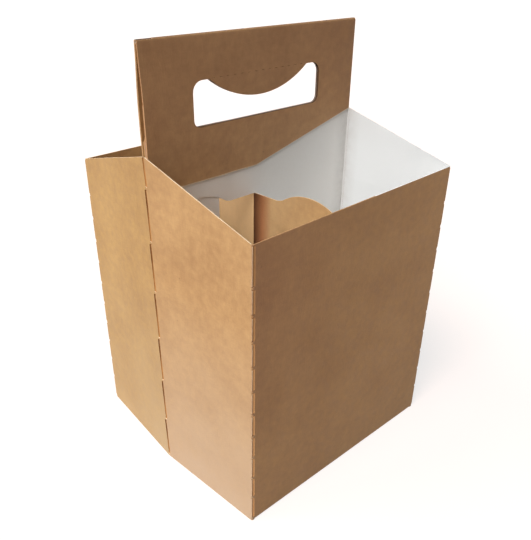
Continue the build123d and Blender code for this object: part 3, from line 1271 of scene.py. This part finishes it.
@made_once("materials")
def cut_edge():
    """Fibrous cream edge where the board was cut."""
    colours = bpy.context.scene.carrier_colours
    material, nodes, base, place, grain = new_finish("cut_edge", 0.2, 0.5, 0.8, 0.95)
    fibrous = nodes.blend(grain["Flecks"], grain["Fibres"], 0.6)
    nodes.feed(base, nodes.mix(fibrous, colours.edge_dark, colours.edge_light))
    return material


@made_once("materials")
def score_fibre():
    """Reddish brown fibre of a score; in the left end crease each score closes downwards."""
    p = carrier_sizes()
    colours = bpy.context.scene.carrier_colours
    material, nodes, base, place, grain = new_finish("score_fibre", 0.1, 0.5, 0.85, 0.95)
    x, y, z = nodes.axes(place)
    below = nodes.math("SUBTRACT", p.peak_height - p.crease_nick_drop, z)
    run = nodes.math("FRACT", nodes.math("DIVIDE", below, p.crease_nick_pitch))
    at_crease = nodes.span(nodes.math("ABSOLUTE", y), 0.002, 0.003, 1.0, 0.0)
    below_tops = nodes.less(z, p.peak_height)
    at_end = nodes.less(x, p.left_crease + 0.003)
    pressed = nodes.times(nodes.span(run, 0.35, 0.7), at_crease, below_tops, at_end)
    mottled = nodes.span(grain["Flecks"], 0.0, 1.0, 0.0, 0.22)
    lighter = nodes.math("ADD", nodes.times(pressed, 0.8), mottled)
    fibre = nodes.mix(lighter, colours.score_dark, colours.score_light)
    # Left corner slits tan low down, darker towards the wall tops as painted shade
    healed_below_shade_above = nodes.times(
        nodes.span(z, 0.5 * p.corner_height, 0.95 * p.corner_height, 1.0, 0.5),
        nodes.math("SUBTRACT", 1.0, at_crease), below_tops,
    )
    fibre = nodes.mix(healed_below_shade_above, fibre, colours.score_tan)
    # Hand hole edges and the inside of the top fold dark: painted shade between the plies
    past_gap = nodes.more(x, p.free_end + 0.012)
    deep = nodes.times(past_gap, nodes.math("SUBTRACT", 1.0, below_tops))
    deep = nodes.math("MAXIMUM", deep, nodes.more(z, p.leaf_top - 0.0004))
    nodes.feed(base, nodes.mix(deep, fibre, colours.score_deep))
    return material


# Stage

CAMERA_PLACE = Vector((-0.205932, -0.226021, 0.258653))
CAMERA_TURN = (radians(59.93103), radians(-0.35588), radians(-41.83975))
FLOOR_SIZE, FLOOR_DROP, FLOOR_GLOW = 6.0, 0.0002, 0.76


def floor_finish():
    """Pale floor that looks white to the camera and still takes the carrier's shadow."""
    material = bpy.data.materials.new("floor")
    nodes = cleared(material)
    colours = bpy.context.scene.carrier_colours
    shade = nodes.add("ShaderNodeBsdfDiffuse", {"Color": colours.floor})
    strength = nodes.times(seen_rays(nodes), FLOOR_GLOW)
    glow = nodes.add("ShaderNodeEmission", {"Strength": strength})
    both = nodes.add("ShaderNodeAddShader", {0: shade.outputs[0], 1: glow.outputs[0]})
    nodes.add("ShaderNodeOutputMaterial", {"Surface": both.outputs[0]})
    return material


def seen_rays(nodes):
    """1 for rays from the camera, a mirror or glass, 0 for rays that light the carrier."""
    rays = nodes.add("ShaderNodeLightPath").outputs
    seen = nodes.math("MAXIMUM", rays["Is Camera Ray"], rays["Is Glossy Ray"])
    return nodes.math("MAXIMUM", seen, rays["Is Transmission Ray"])


class CARRIER_OT_stage(bpy.types.Operator):
    """Pale floor, white surroundings, soft light from the left and the camera"""

    bl_idname = "carrier.stage"
    bl_label = "Stage"

    def execute(self, context):
        scene, light = context.scene, context.scene.carrier_stage
        scene.view_settings.view_transform = "Standard"
        bm = bmesh.new()
        bmesh.ops.create_grid(bm, x_segments=1, y_segments=1, size=FLOOR_SIZE)
        bmesh.ops.translate(bm, verts=bm.verts, vec=(0.0, 0.0, -FLOOR_DROP))
        ground = bpy.data.meshes.new("floor")
        bm.to_mesh(ground)
        bm.free()
        ground.materials.append(floor_finish())
        floor = bpy.data.objects.new("floor", ground)
        scene.collection.objects.link(floor)

        world = bpy.data.worlds.new("surroundings")
        nodes = cleared(world)
        scene.world = world
        strength = nodes.span(seen_rays(nodes), 0.0, 1.0, light.sky, 1.0)
        white = (1.0, 1.0, 1.0, 1.0)
        sky = nodes.add("ShaderNodeBackground", {"Color": white, "Strength": strength})
        nodes.add("ShaderNodeOutputWorld", {"Surface": sky.outputs[0]})

        for name, strength, path in (
            ("key_light", light.key_strength, light.key_path),
            ("rear_light", light.rear_strength, light.rear_path),
        ):
            lamp = bpy.data.lights.new(name, "SUN")
            lamp.energy = strength
            lamp.angle = light.lamp_size
            stand = bpy.data.objects.new(name, lamp)
            stand.rotation_mode = "QUATERNION"
            stand.rotation_quaternion = Vector(path).to_track_quat("-Z", "Y")
            scene.collection.objects.link(stand)

        sight = bpy.data.cameras.new("photo_view")
        sight.sensor_width = 36.0
        sight.lens = 42.09843
        sight.shift_x = 0.0134
        sight.shift_y = 0.03513
        sight.clip_start = 0.01
        sight.clip_end = 50.0
        camera = bpy.data.objects.new("photo_view", sight)
        camera.location = CAMERA_PLACE
        camera.rotation_euler = CAMERA_TURN
        scene.collection.objects.link(camera)
        scene.camera = camera
        return {"FINISHED"}


# Add-on

class CARRIER_PT_tools(bpy.types.Panel):
    """Steps that make the carrier"""

    bl_label = "Carrier"
    bl_idname = "CARRIER_PT_tools"
    bl_space_type = "VIEW_3D"
    bl_region_type = "UI"
    bl_category = "Carrier"

    def draw(self, context):
        for step in STEPS:
            self.layout.operator(step.bl_idname)
        for group in size_groups():
            box = self.layout.box()
            for name in type(group).__annotations__:
                box.prop(group, name)


STEPS = (
    CARRIER_OT_outer_walls,
    CARRIER_OT_fold_scores,
    CARRIER_OT_centre_panels,
    CARRIER_OT_glue_tabs,
    CARRIER_OT_handle_plies,
    CARRIER_OT_divider_straps,
    CARRIER_OT_stage,
)
GROUPS = {
    "carrier_walls": CarrierWallSizes,
    "carrier_handle": CarrierHandleSizes,
    "carrier_inside": CarrierInsideSizes,
    "carrier_colours": CarrierColours,
    "carrier_stage": CarrierStage,
}


def register():
    for name, group in GROUPS.items():
        bpy.utils.register_class(group)
        setattr(bpy.types.Scene, name, PointerProperty(type=group))
    for step in STEPS:
        bpy.utils.register_class(step)
    bpy.utils.register_class(CARRIER_PT_tools)


def unregister():
    bpy.utils.unregister_class(CARRIER_PT_tools)
    for step in reversed(STEPS):
        bpy.utils.unregister_class(step)
    for name, group in reversed(GROUPS.items()):
        delattr(bpy.types.Scene, name)
        bpy.utils.unregister_class(group)


def main():
    register()
    bpy.ops.carrier.outer_walls()
    bpy.ops.carrier.fold_scores()
    bpy.ops.carrier.centre_panels()
    bpy.ops.carrier.glue_tabs()
    bpy.ops.carrier.handle_plies()
    bpy.ops.carrier.divider_straps()
    bpy.ops.carrier.stage()


if __name__ == "__main__":
    main()
